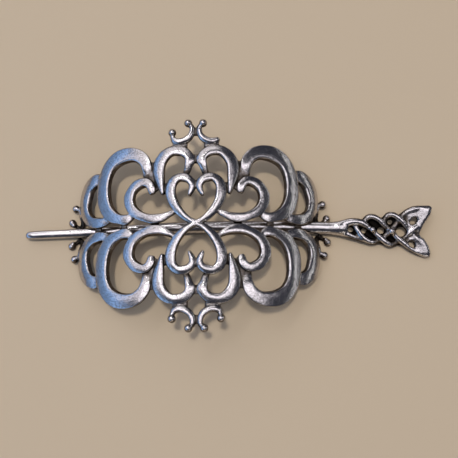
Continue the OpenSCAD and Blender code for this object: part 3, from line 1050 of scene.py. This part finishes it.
@dataclass(frozen=True)
class CastSilverFinish:
    """Cast white metal, tumbled bright on its faces, with black oxidation and painted shade in its
    recesses.

    The eye sees a warm white mirror, hazed by fine scratches, between dark walls and grooves,
    partly oxidised and partly painted shade. The darkening adds up shares of what the casting
    stores and of two patterns; dull_and_shade_edge and oxide_and_shade_edge are the levels between
    which the metal is painted grey, and then black.
    """

    name: str
    bright: str = "#DCD8D8"
    brushed: str = "#B4AFAD"
    dull_and_shade: str = "#71685F"
    # Tints of the grey and black stages, which paint shade as well as oxidation.
    oxide_and_shade: str = "#1E1A17"
    rim: str = "#A89C90"
    bright_rough: float = 0.2
    dull_rough: float = 0.34
    oxide_rough: float = 0.5
    # The first two shares paint shade in hollows and on walls as well as oxidation; the other two
    # are patterns.
    shut_share: float = 1.3
    sunk_and_shaded_share: float = 0.52
    blotch_share: float = 0.36
    speckle_share: float = 0.26
    dull_and_shade_edge: Pair = (0.1, 0.42)
    oxide_and_shade_edge: Pair = (0.36, 0.72)
    brushed_edge: Pair = (0.46, 0.66)
    # Each pattern's size in millimetres, and how many finer layers lie on it. Handling leaves the
    # blotches, and the mould the speckles. Its sand, about 0.1 mm, is too fine to show in the
    # render and is drawn at 0.25 mm.
    blotch: Pair = (1.8, 4.0)
    speckle: Pair = (0.45, 3.0)
    grain: Pair = (0.25, 2.0)
    scuff_rough: float = 0.14
    scuff_start: float = -0.06
    pit_strength: Pair = (0.08, 0.9)
    pit_depth: float = 0.16
    wave_strength: float = 0.5
    wave_depth: float = 0.11
    grain_strength: float = 0.15
    grain_depth: float = 0.05

    def tarnish_and_shade(self, tree: NodeTree, sources: list[NodeSocket]) -> list[NodeSocket]:
        """Adds up what blackens the metal: painted shade and oxidation, blotches and speckles.

        Args:
            tree: The material's nodes.
            sources: How shut in and how deep the metal is, which paint shade, its blotches and
                speckles.

        Returns:
            How far it has turned grey, and how far black, each from 0 to 1.
        """
        shares = (self.shut_share, self.sunk_and_shaded_share, self.blotch_share, self.speckle_share)
        settings = {"operation": "MULTIPLY", 1: shares[0]}
        total = add_node(tree, "ShaderNodeMath", settings, {0: sources[0]})
        for source, share in zip(sources[1:], shares[1:]):
            settings = {"operation": "MULTIPLY_ADD", 1: share}
            total = add_node(tree, "ShaderNodeMath", settings, {0: source, 2: total})
        # The patterns swing about a half, so the edges move up by half of the patterns' shares.
        middle = (self.blotch_share + self.speckle_share) / 2
        stages = []
        for low, high in (self.dull_and_shade_edge, self.oxide_and_shade_edge):
            settings = {"From Min": low + middle, "From Max": high + middle}
            settings["interpolation_type"] = "SMOOTHSTEP"
            stages.append(add_node(tree, "ShaderNodeMapRange", settings, {"Value": total}))
        return stages

    def relief(self, tree: NodeTree, sunk_and_shaded: NodeSocket, patterns: list[NodeSocket]) -> NodeSocket:
        """Pits the metal where the tumbling didn't reach it, under slow waves and a fine grain.

        Args:
            tree: The material's nodes.
            sunk_and_shaded: How deep the metal is, the mask that also paints shade.
            patterns: The blotches, the speckles and the grain.

        Returns:
            The normal.
        """
        blotch, speckle, grain = patterns
        settings = {"To Min": self.pit_strength[0], "To Max": self.pit_strength[1]}
        pitted = add_node(tree, "ShaderNodeMapRange", settings, {"Value": sunk_and_shaded})
        settings, links = {"Distance": self.pit_depth * MM}, {"Height": speckle, "Strength": pitted}
        bump = add_node(tree, "ShaderNodeBump", settings, links)
        for pattern, strength, height in (
            (blotch, self.wave_strength, self.wave_depth),
            (grain, self.grain_strength, self.grain_depth),
        ):
            settings = {"Strength": strength, "Distance": height * MM}
            bump = add_node(tree, "ShaderNodeBump", settings, {"Height": pattern, "Normal": bump})
        return bump

    def material(self) -> Material:
        """Makes the material.

        Returns:
            The material, with its nodes.
        """
        made = bpy.data.materials.new(self.name)
        made.use_nodes = True
        tree = made.node_tree
        tree.nodes.clear()
        # The two stored masks, which paint shade as well as oxidation into the colour.
        shade_and_oxide_masks = [
            add_node(tree, "ShaderNodeAttribute", {"attribute_name": name}, output="Fac")
            for name in SHADE_AND_WEAR
        ]
        place = add_node(tree, "ShaderNodeTexCoord", output="Object")
        patterns = []
        for size, layers in (self.blotch, self.speckle, self.grain):
            settings = {"Scale": 1 / (size * MM), "Detail": layers}
            patterns.append(add_node(tree, "ShaderNodeTexNoise", settings, {"Vector": place}))
        # How far the metal is painted grey, and then black, for shade and oxidation.
        grey, black = self.tarnish_and_shade(tree, shade_and_oxide_masks + patterns[:2])

        settings = {"From Min": self.brushed_edge[0], "From Max": self.brushed_edge[1]}
        haze = add_node(tree, "ShaderNodeMapRange", settings, {"Value": patterns[1]})
        settings = {"data_type": "RGBA", 6: linear(self.bright), 7: linear(self.brushed)}
        colour = add_node(tree, "ShaderNodeMix", settings, {0: haze}, output=2)
        # Painted shade and oxidation darken the colour in two stages.
        for tint, stage in ((self.dull_and_shade, grey), (self.oxide_and_shade, black)):
            settings = {"data_type": "RGBA", 7: linear(tint)}
            colour = add_node(tree, "ShaderNodeMix", settings, {0: stage, 6: colour}, output=2)

        settings = {"To Min": self.bright_rough, "To Max": self.dull_rough}
        rough = add_node(tree, "ShaderNodeMapRange", settings, {"Value": grey})
        links = {"Value": black, "To Min": rough}
        rough = add_node(tree, "ShaderNodeMapRange", {"To Max": self.oxide_rough}, links)
        settings = {"operation": "MULTIPLY_ADD", 1: self.scuff_rough, 2: self.scuff_start}
        scuff = add_node(tree, "ShaderNodeMath", settings, {0: patterns[0]})
        settings = {"operation": "ADD", "use_clamp": True}
        rough = add_node(tree, "ShaderNodeMath", settings, {0: rough, 1: scuff})

        settings = {"Metallic": 1.0, "Specular Tint": linear(self.rim)}
        relief = self.relief(tree, shade_and_oxide_masks[1], patterns)
        links = {"Base Color": colour, "Roughness": rough, "Normal": relief}
        shader = add_node(tree, "ShaderNodeBsdfPrincipled", settings, links)
        add_node(tree, "ShaderNodeOutputMaterial", None, {"Surface": shader})
        return made


@dataclass(frozen=True)
class PaintedBoardFinish:
    """Matt paint rolled on a board, which gives the eye an even pale ground with soft shadows."""

    name: str = "matt_painted_board"
    paint: str = "#C4B59E"
    rough: float = 0.8
    gloss: float = 0.2

    def material(self) -> Material:
        """Makes the material.

        Returns:
            The material, with its nodes.
        """
        made = bpy.data.materials.new(self.name)
        made.use_nodes = True
        inputs = made.node_tree.nodes["Principled BSDF"].inputs
        inputs["Base Color"].default_value = linear(self.paint)
        inputs["Roughness"].default_value = self.rough
        inputs["Specular IOR Level"].default_value = self.gloss
        return made


@dataclass(frozen=True)
class Softbox:
    """One soft lamp of the studio, in metres and watts."""

    name: str
    place: Point
    size: Pair
    power: float
    colour: str
    mirrored: bool = True

    def build(self, aim: Vector) -> None:
        """Hangs the lamp and turns it to the object.

        Args:
            aim: The point at which it looks.
        """
        lamp = bpy.data.lights.new(self.name, "AREA")
        lamp.shape = "RECTANGLE"
        lamp.size, lamp.size_y = self.size
        lamp.energy = self.power
        lamp.color = linear(self.colour)[:3]
        made = put(self.name, lamp)
        made.location = self.place
        made.rotation_euler = (aim - Vector(self.place)).to_track_quat("-Z", "Y").to_euler()
        made.visible_camera = False
        made.visible_glossy = self.mirrored


@dataclass
class Studio:
    """A plain pale floor, soft lamps and the camera at the photograph's angle.

    The camera stands at distance from the crest and off it by shift, both in millimetres, with its
    angles in radians and its focal length in pixels of the square frame. The rest is in metres.
    """

    board: PaintedBoardFinish = PaintedBoardFinish()
    floor_half: float = 4.0
    room: str = "#6C7184"
    room_level: float = 0.2
    distance: float = 250.9273
    elevation: float = 1.3599
    yaw: float = -0.0947
    roll: float = 0.1099
    shift: Pair = (-11.5704, 3.7728)
    focal_pixels: float = 700.0
    frame_pixels: float = 458.0
    sensor: float = 36.0
    clip_start: float = 0.01
    aim: Point = (0.0, 0.0, 0.01)
    lamps: tuple[Softbox, ...] = (
        Softbox("key", (-0.06, 0.12, 2.2), (0.17, 0.17), 19.0, "#FFF4E6", False),
        Softbox("ceiling_left", (-0.72, 0.25, 1.25), (0.85, 1.2), 3.0, "#EAE6EE"),
        Softbox("ceiling_middle", (0.06, 0.0, 1.3), (0.72, 1.7), 4.9, "#EEEAF0"),
        Softbox("ceiling_right", (0.5, 0.1, 1.25), (0.2, 1.1), 0.7, "#E2DEE4"),
        Softbox("left_window_low", (-1.35, 0.2, 0.41), (2.1, 0.58), 2.4, "#86AEE2"),
        Softbox("left_window_high", (-1.35, 0.25, 0.85), (1.9, 0.3), 2.0, "#8CB6EE"),
        Softbox("front_left_window", (-1.0, -0.75, 0.7), (0.9, 0.7), 2.0, "#8CB3E2"),
        Softbox("far_card", (-0.4, 1.45, 1.3), (1.7, 1.2), 6.4, "#F4F0F2"),
        Softbox("glint", (-0.3, 0.55, 1.2), (0.16, 0.1), 0.9, "#FFFFFF"),
        Softbox("right_strip", (1.25, 0.3, 0.42), (1.2, 0.06), 0.6, "#FFFFFF"),
        Softbox("front_bounce", (0.0, -1.35, 0.3), (2.6, 0.6), 2.0, "#D6BF9C"),
        Softbox("near_strip", (0.5, -1.3, 0.9), (0.9, 0.12), 0.7, "#FFF6EC"),
    )

    def build_camera(self) -> None:
        """Sets the camera from its angles, its distance and the crest at the crossing."""
        turn = Matrix.Rotation(-self.yaw, 4, "Z")
        turn @= Matrix.Rotation(math.pi / 2 - self.elevation, 4, "X")
        eye = Vector(CREST) + turn @ Vector((-self.shift[0], -self.shift[1], self.distance))
        lens = bpy.data.cameras.new("camera")
        lens.sensor_width = self.sensor
        lens.lens = self.focal_pixels / self.frame_pixels * self.sensor
        lens.clip_start = self.clip_start
        camera = put("camera", lens)
        turn @= Matrix.Rotation(-self.roll, 4, "Z")
        camera.matrix_world = Matrix.Translation(eye * MM) @ turn
        bpy.context.scene.camera = camera

    def build_floor(self) -> None:
        """Lays the plain pale floor."""
        mesh = bpy.data.meshes.new("floor")
        half = self.floor_half
        corners = [(-half, -half, 0), (half, -half, 0), (half, half, 0), (-half, half, 0)]
        mesh.from_pydata(corners, [], [(0, 1, 2, 3)])
        mesh.materials.append(self.board.material())
        floor = put("floor", mesh)

    def build(self) -> None:
        """Builds the floor, the lamps, the room's own light and the camera."""
        self.build_floor()
        for lamp in self.lamps:
            lamp.build(Vector(self.aim))
        world = bpy.data.worlds.new("room")
        world.use_nodes = True
        back = world.node_tree.nodes["Background"]
        back.inputs["Color"].default_value = linear(self.room)
        back.inputs["Strength"].default_value = self.room_level
        bpy.context.scene.world = world
        bpy.context.scene.view_settings.view_transform = "Standard"
        self.build_camera()


def main() -> None:
    """Builds the studio, the slide and the stick."""
    logging.basicConfig(level=logging.INFO, format="%(name)s: %(message)s")
    detail = Detail.FINAL
    tumbled = CastSilverFinish("tumbled_cast_silver")
    # The stick is smoother than the slide, and oxidation and painted shade fill the grooves of its
    # braid, with painted shade under its shank.
    blackened_and_shaded = CastSilverFinish(
        "blackened_and_shaded_cast_silver",
        brushed="#BCB7B5",
        sunk_and_shaded_share=0.75,
        pit_depth=0.07,
        wave_depth=0.05,
        grain_depth=0.015,
    )
    Studio().build()
    for casting, finish in ((SlideCasting(detail), tumbled), (StickCasting(detail), blackened_and_shaded)):
        piece = casting.build()
        casting.dress(piece, finish.material())
        LOG.info("%s: %d faces on body %s", piece.name, len(piece.data.polygons), casting.body)


if __name__ == "__main__":
    main()
